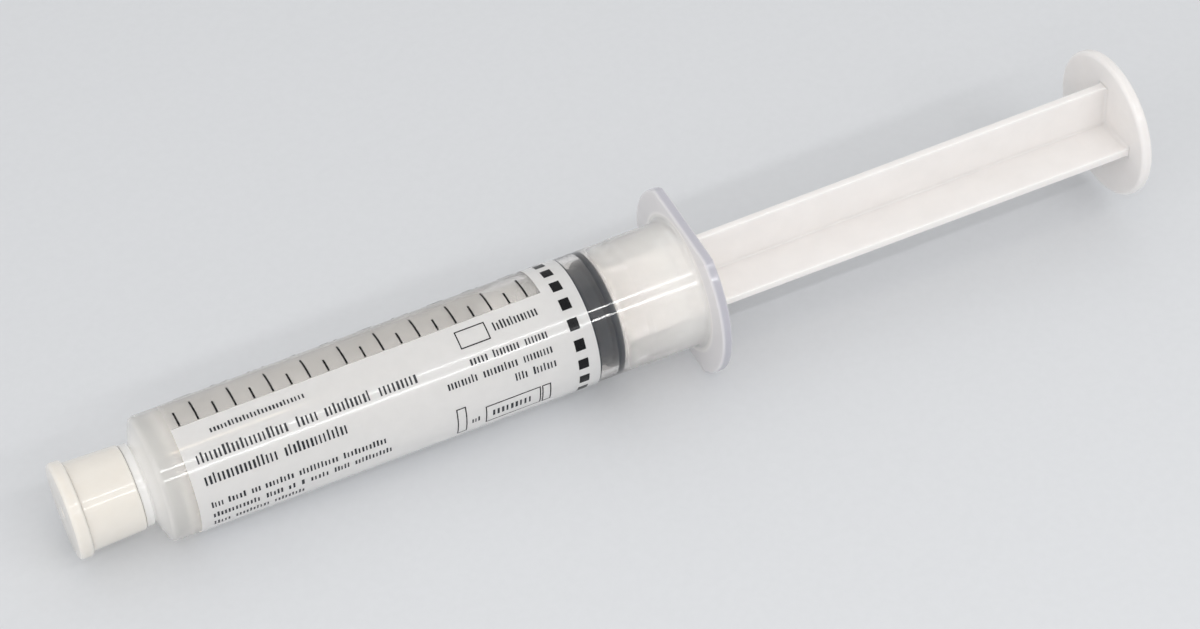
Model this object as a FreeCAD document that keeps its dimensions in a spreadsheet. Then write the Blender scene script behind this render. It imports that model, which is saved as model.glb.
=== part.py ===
import FreeCAD, Part
import math
import os

import Sketcher

# Pre-filled flush syringe, lying on its finger flange.
# The syringe's axis is +X, from the tip to the thumb disc, and the origin is the centre of the luer tip's end.
# +Z is square to the two flats of the finger flange. All lengths are in millimetres.

# Driving dimensions: alias, value, what it is
DRIVING = [
    # tube
    ("bore_diameter", 15.70, "inside of the barrel, which makes 1 mL 5.165 mm long"),
    ("millilitre_volume", 1000.0, "volume behind one whole step of the scale"),
    ("front_wall_thickness", 0.81, "wall of the tube at its front corner"),
    ("rear_wall_thickness", 1.10, "wall of the plain band ahead of the flange"),
    ("neck_length", 0.35, "from the collar's shoulder to the front wall"),
    ("neck_height", 0.2, "foot of the front wall's cone, over the collar"),
    ("front_slope", 0.35, "axial rise of the outer cone for each radial millimetre"),
    ("inner_slope", 0.296, "axial rise of the inner cone, and of the stopper's nose"),
    ("end_wall", 1.7794, "plastic between the collar's floor and the inner cone's foot"),
    ("corner_round", 1.0, "rounding of the front corner"),
    ("band_length", 8.65, "from the faint outer step to the flange"),
    ("rear_step_height", 0.07, "radial height of the outer step"),
    ("rear_step_length", 0.8, "axial length of the outer step"),
    ("ridge_inset", 2.25, "front of the inner retaining ridge, ahead of the flange"),
    ("ridge_height", 0.25, "radial height of the retaining ridge"),
    ("ridge_length", 1.2, "axial length of the retaining ridge"),
    ("ridge_ramp", 0.3, "axial length of each side of the ridge"),
    ("mouth_chamfer", 0.5, "lead-in at the barrel's open end"),
    # finger flange
    ("flange_front", 86.65, "front face of the finger flange"),
    ("flange_thickness", 1.45, "thickness of the finger flange"),
    ("flat_margin", 0.16, "how far the flange's flats stand outside the thumb disc"),
    ("flange_bulge", 2.3, "how far the round outline stands outside the flats"),
    ("flange_corner", 1.1, "rounding where a flat meets the round outline"),
    ("flange_edge", 0.3, "rounding of the flange's rim"),
    ("flange_root", 0.8, "fillet between the barrel and the flange"),
    # luer lock
    ("luer_tip_radius", 1.985, "small end of the 6 percent cone"),
    ("luer_taper", 0.03, "radius gained for each millimetre of the cone"),
    ("luer_wall", 0.885, "wall round the fluid path at the tip"),
    ("collar_front", 2.1, "front face of the lock collar, behind the tip"),
    ("collar_depth", 6.2, "depth of the collar's ring space"),
    ("collar_outer_radius", 4.95, "outside of the lock collar"),
    ("collar_wall", 0.95, "wall of the lock collar"),
    ("collar_chamfer", 0.35, "lead-in at the collar's mouth"),
    ("shoulder_length", 1.0, "length of the shoulder at the collar's root"),
    ("shoulder_height", 0.7, "height of the shoulder over the collar"),
    ("thread_inset", 0.6, "from the collar's front to the thread's first turn"),
    ("thread_lead", 5.0, "axial travel of each thread start in a full turn"),
    ("thread_length", 4.0, "axial travel of each thread start inside the collar"),
    ("thread_depth", 0.5, "height of the lock thread over the collar's bore"),
    ("thread_foot", 1.0, "width of the thread at the collar's bore"),
    ("thread_crest", 0.4, "width of the thread at its crest"),
    ("thread_bed", 0.15, "depth of the thread's foot in the collar's wall"),
    # tip cap
    ("cap_gap", 0.05, "running gap of the cap on collar and cone"),
    ("cap_wall", 0.85, "wall of the cap's skirt at its open end"),
    ("cap_draft", 0.25, "radius that the cap's body gains toward its rim"),
    ("cap_front", -2.1, "front face of the cap"),
    ("cap_rim_length", 1.9, "length of the cap's front rim"),
    ("cap_rim_height", 0.5, "height of the front rim over the cap's body"),
    ("cap_end_wall", 1.7, "thickness of the cap's closed end"),
    ("cap_gate_radius", 0.75, "dimple at the cap's gate"),
    ("cap_gate_depth", 0.18, "depth of the gate's dimple"),
    ("cap_collar_gap", 0.9, "room between the collar's front and the cap's ring floor"),
    ("cap_sleeve_wall", 0.94, "wall of the sleeve at its open end"),
    ("cap_sleeve_gap", 0.8, "room between the sleeve's end and the collar's floor"),
    ("cap_mouth_edge", 0.35, "rounding of the open end"),
    # stopper
    ("fill_reading", 11.145, "millilitres between the 0 mL mark and the first sealing rib"),
    ("stopper_length", 4.66, "from the first rib's front edge to the rear face"),
    ("rib_width", 1.1, "width of each sealing rib"),
    ("rib_gap", 0.05, "running gap of the sealing ribs in the bore"),
    ("rib_chamfer", 0.45, "lead of the first rib on the nose"),
    ("rib_edge", 0.15, "rounding of the ribs' edges"),
    ("recess_depth", 0.85, "gap to the bore between the ribs"),
    ("recess_slope", 0.3, "axial length of the ribs' inner sides"),
    ("nose_clearance", 0.65, "gap to the bore at the foot of the nose cone"),
    ("stopper_mouth_radius", 2.7, "mouth of the stopper's snap cavity"),
    ("stopper_lip", 1.1, "thickness of the lip that holds the rod's head"),
    ("cavity_step", 1.5, "how far the snap cavity is wider than its mouth"),
    ("stopper_cavity_length", 3.2, "depth of the snap cavity behind the lip"),
    # plunger rod
    ("snap_gap", 0.1, "axial gap of the rod's head and disc in the stopper"),
    ("snap_radial_gap", 0.3, "radial gap of the rod's head and neck in the stopper"),
    ("head_taper", 1.0, "radius that the rod's head loses toward its front"),
    ("head_land", 0.8, "length of the widest part of the rod's head"),
    ("disc_thickness", 0.9, "thickness of the rod's front disc"),
    ("disc_clearance", 0.4, "gap of the front disc in the bore"),
    ("blade_clearance", 1.0, "gap of the ribs in the bore at the front disc"),
    ("blade_draft", 0.35, "half width that the ribs gain toward the thumb disc"),
    ("blade_front_half", 0.5, "half thickness of the ribs at the front disc"),
    ("blade_rear_half", 0.65, "half thickness of the ribs at the thumb disc"),
    ("blade_root", 0.35, "fillet along the four roots of the ribs"),
    ("rod_roll", -5.0, "turn of the rod about the axis, from +Y toward +Z, in degrees"),
    ("thumb_front", 154.2, "front face of the thumb disc"),
    ("thumb_thickness", 1.7, "thickness of the thumb disc"),
    ("thumb_radius", 10.84, "outside of the thumb disc"),
    ("thumb_edge", 0.6, "rounding of the thumb disc's rim"),
    # label
    ("label_front_inset", 3.72, "from the tube's front corner to the label"),
    ("label_rear_inset", 7.5, "from the label to the outer step"),
    ("label_thickness", 0.06, "thickness of the film"),
    ("label_glue", 0.01, "glue line under the film"),
    # saline
    ("fill_gap", 0.03, "gap of the liquid to the barrel"),
    ("fill_stopper_gap", 0.12, "gap of the liquid to the stopper"),
    ("bubble_setback", 6.9, "middle of the air bubble, ahead of the first sealing rib"),
    ("bubble_half_length", 5.7, "half length of the air bubble"),
    ("bubble_half_width", 5.2, "half width of the air bubble"),
    ("bubble_depth", 2.9, "depth of the air bubble under the barrel's top"),
]

# Worked out from the driving dimensions: alias, formula
DERIVED = [
    # tube and luer lock
    ("bore_radius", "bore_diameter / 2"),
    ("ml_length", "millilitre_volume / (pi * bore_radius ^ 2)"),
    ("outer_front_radius", "bore_radius + front_wall_thickness"),
    ("outer_rear_radius", "bore_radius + rear_wall_thickness"),
    ("luer_bore_radius", "luer_tip_radius - luer_wall"),
    ("collar_floor", "collar_front + collar_depth"),
    ("luer_root_radius", "luer_tip_radius + collar_floor * luer_taper"),
    ("collar_inner_radius", "collar_outer_radius - collar_wall"),
    ("collar_chamfer_rear", "collar_front + collar_chamfer"),
    ("collar_mouth_radius", "collar_inner_radius + collar_chamfer"),
    ("shoulder_front", "collar_floor - shoulder_length"),
    ("shoulder_rear", "collar_floor"),
    ("shoulder_radius", "collar_outer_radius + shoulder_height"),
    ("thread_start", "collar_front + thread_inset"),
    ("thread_root_radius", "collar_inner_radius + thread_bed"),
    ("thread_crest_radius", "collar_inner_radius - thread_depth"),
    ("thread_rear", "thread_start + thread_foot"),
    ("thread_crest_front", "thread_start + (thread_foot - thread_crest) / 2"),
    ("thread_crest_rear", "thread_crest_front + thread_crest"),
    ("wall_front", "shoulder_rear + neck_length"),
    ("neck_radius", "collar_outer_radius + neck_height"),
    ("wall_corner", "wall_front + (outer_front_radius - neck_radius) * front_slope"),
    ("rear_step", "flange_front - band_length"),
    ("step_front_radius", "outer_rear_radius - rear_step_height"),
    ("step_rear", "rear_step + rear_step_length"),
    ("barrel_draft", "(step_front_radius - outer_front_radius) / (rear_step - wall_corner)"),
    ("barrel_end", "flange_front + flange_thickness"),
    ("mouth_radius", "bore_radius + mouth_chamfer"),
    ("mouth_inner", "barrel_end - mouth_chamfer"),
    ("ridge_place", "flange_front - ridge_inset"),
    ("ridge_radius", "bore_radius - ridge_height"),
    ("ridge_top_front", "ridge_place + ridge_ramp"),
    ("ridge_top_rear", "ridge_place + ridge_length - ridge_ramp"),
    ("ridge_end", "ridge_place + ridge_length"),
    ("inner_foot", "collar_floor + end_wall"),
    ("inner_edge", "inner_foot + (bore_radius - luer_bore_radius) * inner_slope"),
    ("flange_flat", "thumb_radius + flat_margin"),
    ("flange_radius", "flange_flat + flange_bulge"),
    ("flange_hole_radius", "(bore_radius + outer_rear_radius) / 2"),
    # tip cap
    ("cap_rear", "shoulder_front - cap_gap"),
    ("cap_skirt_inner", "collar_outer_radius + cap_gap"),
    ("cap_rear_radius", "cap_skirt_inner + cap_wall"),
    ("cap_front_radius", "cap_rear_radius + cap_draft"),
    ("cap_rim_radius", "cap_front_radius + cap_rim_height"),
    ("cap_rim_rear", "cap_front + cap_rim_length"),
    ("cap_edge", "cap_rim_height * 0.8"),
    ("cap_gate_floor", "cap_front + cap_gate_depth"),
    ("cap_ring_floor", "collar_front - cap_collar_gap"),
    ("cap_sleeve_end", "collar_floor - cap_sleeve_gap"),
    ("cap_socket_floor", "cap_front + cap_end_wall"),
    ("cap_socket_floor_radius", "luer_tip_radius + cap_socket_floor * luer_taper + cap_gap"),
    ("cap_socket_mouth_radius", "luer_tip_radius + cap_sleeve_end * luer_taper + cap_gap"),
    ("cap_sleeve_radius", "cap_socket_mouth_radius + cap_sleeve_wall"),
    # stopper
    ("nose_radius", "bore_radius - nose_clearance"),
    ("recess_radius", "bore_radius - recess_depth"),
    ("rib_radius", "bore_radius - rib_gap"),
    ("zero_mark", "inner_edge + rib_chamfer - nose_clearance * inner_slope"),
    ("stopper_front", "zero_mark + fill_reading * ml_length"),
    ("stopper_rear", "stopper_front + stopper_length"),
    ("nose_foot", "stopper_front - rib_chamfer"),
    ("nose_apex", "nose_foot - nose_radius * inner_slope"),
    ("first_rib_end", "stopper_front + rib_width"),
    ("recess_start", "first_rib_end + recess_slope"),
    ("second_rib_start", "stopper_rear - rib_width"),
    ("recess_end", "second_rib_start - recess_slope"),
    ("stopper_cavity_radius", "stopper_mouth_radius + cavity_step"),
    ("cavity_rear", "stopper_rear - stopper_lip"),
    ("cavity_front", "cavity_rear - stopper_cavity_length"),
    # plunger rod
    ("disc_radius", "bore_radius - disc_clearance"),
    ("rod_disc_front", "stopper_rear + snap_gap"),
    ("rod_disc_rear", "rod_disc_front + disc_thickness"),
    ("rod_neck_radius", "stopper_mouth_radius - snap_radial_gap"),
    ("rod_head_radius", "stopper_cavity_radius - snap_radial_gap"),
    ("head_tip_radius", "rod_head_radius - head_taper"),
    ("rod_head_rear", "cavity_rear - snap_gap"),
    ("rod_head_shoulder", "rod_head_rear - head_land"),
    ("rod_head_front", "cavity_front + snap_gap"),
    ("blade_front_span", "bore_radius - blade_clearance"),
    ("blade_rear_span", "blade_front_span + blade_draft"),
    ("thumb_rear", "thumb_front + thumb_thickness"),
    # label
    ("label_front", "wall_corner + label_front_inset"),
    ("label_rear", "rear_step - label_rear_inset"),
    ("label_front_inner", "outer_front_radius + barrel_draft * label_front_inset + label_glue"),
    ("label_rear_inner", "outer_front_radius + barrel_draft * (label_rear - wall_corner) + label_glue"),
    ("label_front_outer", "label_front_inner + label_thickness"),
    ("label_rear_outer", "label_rear_inner + label_thickness"),
    # saline
    ("fill_radius", "bore_radius - fill_gap"),
    ("fill_edge", "inner_edge + fill_gap"),
    ("fill_foot", "inner_foot + fill_gap"),
    ("fill_tip", "fill_gap"),
    ("fill_tip_radius", "luer_bore_radius - fill_gap"),
    ("fill_rear_edge", "stopper_front - fill_stopper_gap"),
    ("fill_rear_foot", "nose_foot - fill_stopper_gap"),
    ("fill_rear_apex", "nose_apex - fill_stopper_gap"),
    ("bubble_centre", "stopper_front - bubble_setback"),
]


def make_sheet(doc):
    """The spreadsheet of sizes: one row for each, with its alias on column B."""
    sheet = doc.addObject("Spreadsheet::Sheet", "sizes")
    row = 1
    for alias, value, what in DRIVING:
        sheet.set(f"A{row}", what)
        sheet.set(f"B{row}", str(value))
        sheet.setAlias(f"B{row}", alias)
        row += 1
    for alias, formula in DERIVED:
        sheet.set(f"B{row}", "=" + formula)
        sheet.setAlias(f"B{row}", alias)
        row += 1
    doc.recompute()
    return sheet


def origin_plane(body, role):
    """The body's own origin plane with this role."""
    return next(f for f in body.Origin.OriginFeatures if f.Role == role)


def new_body(doc, name):
    """A body whose label names its file."""
    body = doc.addObject("PartDesign::Body", name)
    body.Label = name
    return body


def new_sketch(body, name, role, offset=None):
    """A sketch on one of the body's origin planes, moved along its normal by a named size."""
    sketch = body.newObject("Sketcher::SketchObject", name)
    sketch.AttachmentSupport = [(origin_plane(body, role), "")]
    sketch.MapMode = "FlatFace"
    if offset:
        sketch.setExpression("AttachmentOffset.Base.z", "sizes." + offset)
    return sketch


def pin(sketch, geometry, end, kind, alias, sheet):
    """Holds one coordinate of a sketch point at a named size, or on the axis where alias is None."""
    if alias is None:
        axis = -2 if kind == "DistanceX" else -1
        sketch.addConstraint(Sketcher.Constraint("PointOnObject", geometry, end, axis))
        return
    sign = -1.0 if alias.startswith("-") else 1.0
    name = alias.lstrip("-")
    index = sketch.addConstraint(Sketcher.Constraint(kind, geometry, end, sign * float(sheet.get(name))))
    sketch.setExpression(f"Constraints[{index}]", ("-" if sign < 0 else "") + "sizes." + name)


def coordinate(alias, sheet):
    """The value behind an alias, its negative, or zero for None."""
    if alias is None:
        return 0.0
    if alias.startswith("-"):
        return -float(sheet.get(alias[1:]))
    return float(sheet.get(alias))


def polygon(sketch, corners, sheet):
    """A closed outline whose corners are pairs of named sizes."""
    points = [FreeCAD.Vector(coordinate(a, sheet), coordinate(b, sheet), 0) for a, b in corners]
    count = len(points)
    first = sketch.GeometryCount
    for k in range(count):
        sketch.addGeometry(Part.LineSegment(points[k], points[(k + 1) % count]), False)
    for k in range(count):
        sketch.addConstraint(
            Sketcher.Constraint("Coincident", first + k, 2, first + (k + 1) % count, 1)
        )
    for k, (a, b) in enumerate(corners):
        pin(sketch, first + k, 1, "DistanceX", a, sheet)
        pin(sketch, first + k, 1, "DistanceY", b, sheet)


def turned(body, name, corners, sheet):
    """A full turn about the syringe's axis of an outline of (place along the axis, radius) corners."""
    sketch = new_sketch(body, name + "_outline", "XZ_Plane")
    polygon(sketch, corners, sheet)
    turn = body.newObject("PartDesign::Revolution", name)
    turn.Profile = sketch
    turn.ReferenceAxis = (sketch, ["H_Axis"])
    turn.Angle = 360.0
    body.Document.recompute()
    return turn


def ring_edges(shape, place, radius):
    """Names of the round edges about the axis at this place and radius."""
    names = []
    for k, edge in enumerate(shape.Edges, 1):
        curve = edge.Curve
        if not isinstance(curve, Part.Circle):
            continue
        on_axis = math.hypot(curve.Center.y, curve.Center.z) < 1e-4
        if on_axis and abs(curve.Center.x - place) < 1e-3 and abs(curve.Radius - radius) < 1e-3:
            names.append(f"Edge{k}")
    return names


def rounded(body, name, edges, size):
    """Fillets named edges of the body's last feature with a named radius."""
    if not edges:
        raise RuntimeError(f"{name}: no edge found to round")
    base = body.Tip
    fillet = body.newObject("PartDesign::Fillet", name)
    fillet.Base = (base, edges)
    fillet.setExpression("Radius", "sizes." + size)
    body.Document.recompute()
    return fillet


def make_barrel(doc, sheet):
    """Luer cone, lock collar, conical front wall, drafted tube, retaining ridge and finger flange: one moulding."""
    body = new_body(doc, "barrel")
    wall = turned(body, "barrel_wall", [
        (None, "luer_bore_radius"),
        (None, "luer_tip_radius"),
        ("collar_floor", "luer_root_radius"),
        ("collar_floor", "collar_inner_radius"),
        ("collar_chamfer_rear", "collar_inner_radius"),
        ("collar_front", "collar_mouth_radius"),
        ("collar_front", "collar_outer_radius"),
        ("shoulder_front", "collar_outer_radius"),
        ("shoulder_front", "shoulder_radius"),
        ("shoulder_rear", "shoulder_radius"),
        ("wall_front", "neck_radius"),
        ("wall_corner", "outer_front_radius"),
        ("rear_step", "step_front_radius"),
        ("step_rear", "outer_rear_radius"),
        ("barrel_end", "outer_rear_radius"),
        ("barrel_end", "mouth_radius"),
        ("mouth_inner", "bore_radius"),
        ("ridge_end", "bore_radius"),
        ("ridge_top_rear", "ridge_radius"),
        ("ridge_top_front", "ridge_radius"),
        ("ridge_place", "bore_radius"),
        ("inner_edge", "bore_radius"),
        ("inner_foot", "luer_bore_radius"),
    ], sheet)
    corner = ring_edges(wall.Shape, sheet.get("wall_corner"), sheet.get("outer_front_radius"))
    rounded(body, "front_corner", corner, "corner_round")
    make_lock_thread(body, sheet)
    make_flange(body, sheet)
    return body


def make_lock_thread(body, sheet):
    """The lock collar's inner thread: a trapezoid on a right-handed helix, with two starts half a turn apart."""
    profile = new_sketch(body, "thread_profile", "XZ_Plane")
    polygon(profile, [
        ("thread_start", "thread_root_radius"),
        ("thread_crest_front", "thread_crest_radius"),
        ("thread_crest_rear", "thread_crest_radius"),
        ("thread_rear", "thread_root_radius"),
    ], sheet)
    thread = body.newObject("PartDesign::AdditiveHelix", "lock_thread")
    thread.Profile = profile
    thread.ReferenceAxis = (profile, ["H_Axis"])
    thread.Mode = 0
    thread.Angle = 0.0
    thread.setExpression("Pitch", "sizes.thread_lead")
    thread.setExpression("Height", "sizes.thread_length")
    body.Document.recompute()
    starts = body.newObject("PartDesign::PolarPattern", "thread_starts")
    starts.Originals = [thread]
    starts.Axis = (profile, ["H_Axis"])
    starts.Angle = 360.0
    starts.Occurrences = 2
    body.Tip = starts
    body.Document.recompute()


def make_flange(body, sheet):
    """The finger flange: a disc with two flats, joined to the tube's end."""
    sketch = new_sketch(body, "flange_outline", "YZ_Plane", "flange_front")
    radius = sheet.get("flange_radius")
    flat = sheet.get("flange_flat")
    half = math.sqrt(radius ** 2 - flat ** 2)
    swing = math.asin(flat / radius)
    centre = FreeCAD.Vector(0, 0, 0)
    circle = Part.Circle(centre, FreeCAD.Vector(0, 0, 1), radius)
    right = sketch.addGeometry(Part.ArcOfCircle(circle, -swing, swing), False)
    top = sketch.addGeometry(
        Part.LineSegment(FreeCAD.Vector(half, flat, 0), FreeCAD.Vector(-half, flat, 0)), False
    )
    left = sketch.addGeometry(Part.ArcOfCircle(circle, math.pi - swing, math.pi + swing), False)
    bottom = sketch.addGeometry(
        Part.LineSegment(FreeCAD.Vector(-half, -flat, 0), FreeCAD.Vector(half, -flat, 0)), False
    )
    hole = sketch.addGeometry(
        Part.Circle(centre, FreeCAD.Vector(0, 0, 1), sheet.get("flange_hole_radius")), False
    )
    for a, b in ((right, top), (top, left), (left, bottom), (bottom, right)):
        sketch.addConstraint(Sketcher.Constraint("Coincident", a, 2, b, 1))
    for curve in (right, left, hole):
        sketch.addConstraint(Sketcher.Constraint("Coincident", curve, 3, -1, 1))
    for line in (top, bottom):
        sketch.addConstraint(Sketcher.Constraint("Horizontal", line))
    pin(sketch, top, 1, "DistanceY", "flange_flat", sheet)
    pin(sketch, bottom, 1, "DistanceY", "-flange_flat", sheet)
    for curve, alias in ((right, "flange_radius"), (left, "flange_radius"), (hole, "flange_hole_radius")):
        index = sketch.addConstraint(Sketcher.Constraint("Radius", curve, float(sheet.get(alias))))
        sketch.setExpression(f"Constraints[{index}]", "sizes." + alias)
    pad = body.newObject("PartDesign::Pad", "flange")
    pad.Profile = sketch
    pad.setExpression("Length", "sizes.flange_thickness")
    body.Document.recompute()
    corners = []
    for k, edge in enumerate(pad.Shape.Edges, 1):
        ends = [v.Point for v in edge.Vertexes]
        if len(ends) != 2 or (ends[1] - ends[0]).cross(FreeCAD.Vector(1, 0, 0)).Length > 1e-6:
            continue
        if all(abs(math.hypot(p.y, p.z) - radius) < 1e-3 for p in ends):
            corners.append(f"Edge{k}")
    rounding = rounded(body, "flange_corners", corners, "flange_corner")
    rims = []
    for k, edge in enumerate(rounding.Shape.Edges, 1):
        box = edge.BoundBox
        on_face = min(abs(box.XMin - sheet.get(a)) for a in ("flange_front", "barrel_end")) < 1e-4
        span = max(abs(box.ZMin), abs(box.ZMax), abs(box.YMin), abs(box.YMax))
        outside = span > sheet.get("flange_flat") - 1e-3
        if box.XLength < 1e-4 and on_face and outside:
            rims.append(f"Edge{k}")
    rounding = rounded(body, "flange_rim", rims, "flange_edge")
    root = ring_edges(rounding.Shape, sheet.get("flange_front"), sheet.get("outer_rear_radius"))
    rounded(body, "flange_foot", root, "flange_root")


def make_cap(doc, sheet):
    """The tip cap: closed front with a rim, skirt over the collar and sleeve on the luer cone, one moulding."""
    body = new_body(doc, "tip_cap")
    shell = turned(body, "cap_shell", [
        ("cap_gate_floor", None),
        ("cap_gate_floor", "cap_gate_radius"),
        ("cap_front", "cap_gate_radius"),
        ("cap_front", "cap_rim_radius"),
        ("cap_rim_rear", "cap_rim_radius"),
        ("cap_rim_rear", "cap_front_radius"),
        ("cap_rear", "cap_rear_radius"),
        ("cap_rear", "cap_skirt_inner"),
        ("cap_ring_floor", "cap_skirt_inner"),
        ("cap_ring_floor", "cap_sleeve_radius"),
        ("cap_sleeve_end", "cap_sleeve_radius"),
        ("cap_sleeve_end", "cap_socket_mouth_radius"),
        ("cap_socket_floor", "cap_socket_floor_radius"),
        ("cap_socket_floor", None),
    ], sheet)
    rim = ring_edges(shell.Shape, sheet.get("cap_front"), sheet.get("cap_rim_radius"))
    rim += ring_edges(shell.Shape, sheet.get("cap_rim_rear"), sheet.get("cap_rim_radius"))
    rounding = rounded(body, "cap_rim", rim, "cap_edge")
    mouth = ring_edges(rounding.Shape, sheet.get("cap_rear"), sheet.get("cap_rear_radius"))
    rounded(body, "cap_mouth", mouth, "cap_mouth_edge")
    return body


def make_stopper(doc, sheet):
    """The rubber stopper: nose cone, two sealing ribs with a recess between, and the snap cavity behind."""
    body = new_body(doc, "stopper")
    rubber = turned(body, "stopper_rubber", [
        ("nose_apex", None),
        ("nose_foot", "nose_radius"),
        ("stopper_front", "rib_radius"),
        ("first_rib_end", "rib_radius"),
        ("recess_start", "recess_radius"),
        ("recess_end", "recess_radius"),
        ("second_rib_start", "rib_radius"),
        ("stopper_rear", "rib_radius"),
        ("stopper_rear", "stopper_mouth_radius"),
        ("cavity_rear", "stopper_mouth_radius"),
        ("cavity_rear", "stopper_cavity_radius"),
        ("cavity_front", "stopper_cavity_radius"),
        ("cavity_front", None),
    ], sheet)
    edges = []
    for place in ("first_rib_end", "second_rib_start", "stopper_rear"):
        edges += ring_edges(rubber.Shape, sheet.get(place), sheet.get("rib_radius"))
    rounded(body, "rib_edges", edges, "rib_edge")
    return body


def cross_corners(span, half):
    """The twelve corners of a four-bladed cross with this half span and half thickness."""
    quarter = [(span, "-" + half), (span, half), (half, half)]
    corners = []
    for turn in range(4):
        for a, b in quarter:
            corners.append((a, b))
        quarter = [(flipped(b), a) for a, b in quarter]
    return corners


def flipped(alias):
    """The negative of a named size."""
    return alias[1:] if alias.startswith("-") else "-" + alias


def make_rod(doc, sheet):
    """The plunger rod: snap-in head, front disc, four drafted blades and thumb disc, one moulding."""
    body = new_body(doc, "plunger_rod")
    turned(body, "rod_front", [
        ("rod_head_front", None),
        ("rod_head_front", "head_tip_radius"),
        ("rod_head_shoulder", "rod_head_radius"),
        ("rod_head_rear", "rod_head_radius"),
        ("rod_head_rear", "rod_neck_radius"),
        ("rod_disc_front", "rod_neck_radius"),
        ("rod_disc_front", "disc_radius"),
        ("rod_disc_rear", "disc_radius"),
        ("rod_disc_rear", None),
    ], sheet)
    front = new_sketch(body, "blades_front", "YZ_Plane", "rod_disc_rear")
    polygon(front, cross_corners("blade_front_span", "blade_front_half"), sheet)
    rear = new_sketch(body, "blades_rear", "YZ_Plane", "thumb_front")
    polygon(rear, cross_corners("blade_rear_span", "blade_rear_half"), sheet)
    blades = body.newObject("PartDesign::AdditiveLoft", "blades")
    blades.Profile = front
    blades.Sections = [rear]
    blades.Ruled = True
    doc.recompute()
    turned(body, "thumb_disc", [
        ("thumb_front", None),
        ("thumb_front", "thumb_radius"),
        ("thumb_rear", "thumb_radius"),
        ("thumb_rear", None),
    ], sheet)
    rim = ring_edges(body.Tip.Shape, sheet.get("thumb_front"), sheet.get("thumb_radius"))
    rim += ring_edges(body.Tip.Shape, sheet.get("thumb_rear"), sheet.get("thumb_radius"))
    rounded(body, "thumb_rim", rim, "thumb_edge")
    roots = []
    for k, edge in enumerate(body.Tip.Shape.Edges, 1):
        radii = [math.hypot(v.Point.y, v.Point.z) for v in edge.Vertexes]
        along = edge.BoundBox.XLength > sheet.get("thumb_front") - sheet.get("rod_disc_rear") - 1e-3
        if along and max(radii) < 2 * sheet.get("blade_rear_half"):
            roots.append(f"Edge{k}")
    rounded(body, "blade_roots", roots, "blade_root")
    body.Placement = FreeCAD.Placement(
        FreeCAD.Vector(0, 0, 0), FreeCAD.Rotation(FreeCAD.Vector(1, 0, 0), float(sheet.get("rod_roll")))
    )
    return body


def make_label(doc, sheet):
    """The film label, wrapped once round the drafted tube."""
    body = new_body(doc, "label")
    turned(body, "label_film", [
        ("label_front", "label_front_inner"),
        ("label_front", "label_front_outer"),
        ("label_rear", "label_rear_outer"),
        ("label_rear", "label_rear_inner"),
    ], sheet)
    return body


def make_fill(doc, sheet):
    """The saline: everything ahead of the stopper and in the fluid path, but for the air bubble at the top."""
    body = new_body(doc, "saline_fill")
    turned(body, "liquid", [
        ("fill_tip", None),
        ("fill_tip", "fill_tip_radius"),
        ("fill_foot", "fill_tip_radius"),
        ("fill_edge", "fill_radius"),
        ("fill_rear_edge", "fill_radius"),
        ("fill_rear_foot", "nose_radius"),
        ("fill_rear_apex", None),
    ], sheet)
    bubble = body.newObject("PartDesign::SubtractiveEllipsoid", "bubble")
    bubble.AttachmentSupport = [(origin_plane(body, "XY_Plane"), "")]
    bubble.MapMode = "FlatFace"
    bubble.setExpression("AttachmentOffset.Base.x", "sizes.bubble_centre")
    bubble.setExpression("AttachmentOffset.Base.z", "sizes.bore_radius")
    bubble.setExpression("Radius1", "sizes.bubble_depth")
    bubble.setExpression("Radius2", "sizes.bubble_half_length")
    bubble.setExpression("Radius3", "sizes.bubble_half_width")
    doc.recompute()
    return body


def check(doc, bodies):
    """Stops on any failed object, or a sub-part that is not one sound solid."""
    for thing in doc.Objects:
        if "Invalid" in thing.State or "Error" in thing.State:
            raise RuntimeError(f"{thing.Name} is {thing.State}")
    for body in bodies:
        shape = body.Shape
        if shape.isNull() or not shape.isValid() or len(shape.Solids) != 1:
            raise RuntimeError(f"{body.Label} is not one sound solid")
        print(body.Label, "volume", round(shape.Volume, 2), "box", shape.BoundBox)


def main():
    doc = FreeCAD.newDocument("flush_syringe")
    sheet = make_sheet(doc)
    bodies = [
        make_barrel(doc, sheet),
        make_cap(doc, sheet),
        make_stopper(doc, sheet),
        make_rod(doc, sheet),
        make_label(doc, sheet),
        make_fill(doc, sheet),
    ]
    doc.recompute()
    check(doc, bodies)
    os.makedirs("parts", exist_ok=True)
    for body in bodies:
        body.Shape.exportStep(os.path.join("parts", body.Label + ".step"))


main()
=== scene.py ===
"""Looks of a pre-filled flush syringe, built around its packed frame: a Blender add-on run as a script.

The syringe lies on its finger flange. Its axis is +X, from the luer tip to the thumb disc, and the origin is
the centre of the luer tip's end. Angles round the axis are measured from +Z toward +Y.
"""

import math

import bmesh
import bpy
import numpy as np
from bpy.props import FloatProperty, FloatVectorProperty, IntProperty, PointerProperty
from bpy.types import Operator, Panel, PropertyGroup
from mathutils import Matrix, Quaternion, Vector


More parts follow.
